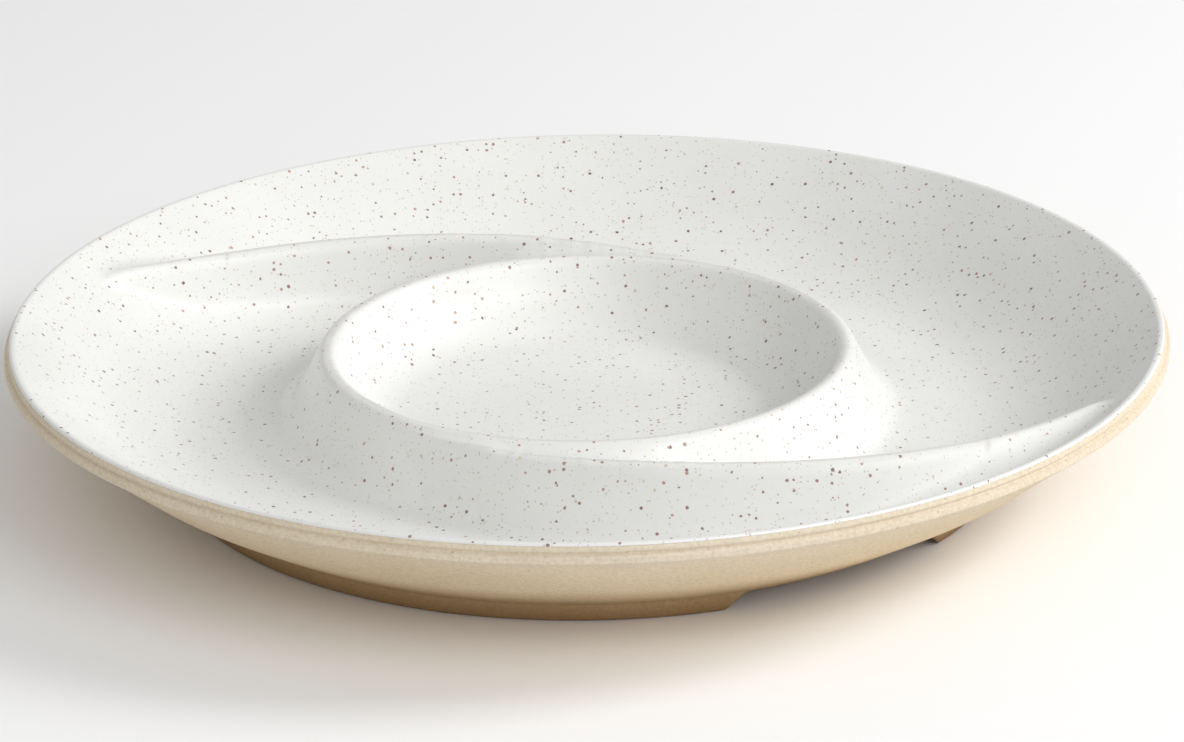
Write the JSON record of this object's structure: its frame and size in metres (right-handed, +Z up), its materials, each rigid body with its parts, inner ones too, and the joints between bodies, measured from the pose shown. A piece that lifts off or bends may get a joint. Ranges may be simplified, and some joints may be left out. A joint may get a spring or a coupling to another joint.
{
  "type": "chip and dip server",
  "caption": "Round stoneware server with a dip bowl in the middle and swirl ridges that part the chips into crescents, glazed inside and bare clay below.",
  "frame": {"origin": "on the dish's axis, on the surface that it stands on", "axes": "+Z up, -Y the front, +X to the right seen from the front"},
  "size_m": [0.3682, 0.3682, 0.046],
  "materials": {
    "bare_clay": "matte, fine grained, unglazed",
    "speckled_glaze": "satin off-white with brown iron speckles"
  },
  "bodies": {
    "root": {"dish_body": "bare_clay", "foot_arc_back": "bare_clay", "foot_arc_front": "bare_clay", "dip_bowl_wall": "bare_clay", "swirl_ridge_front": "bare_clay", "swirl_ridge_back": "bare_clay", "glaze_coat": "speckled_glaze"}
  },
  "joints": []
}
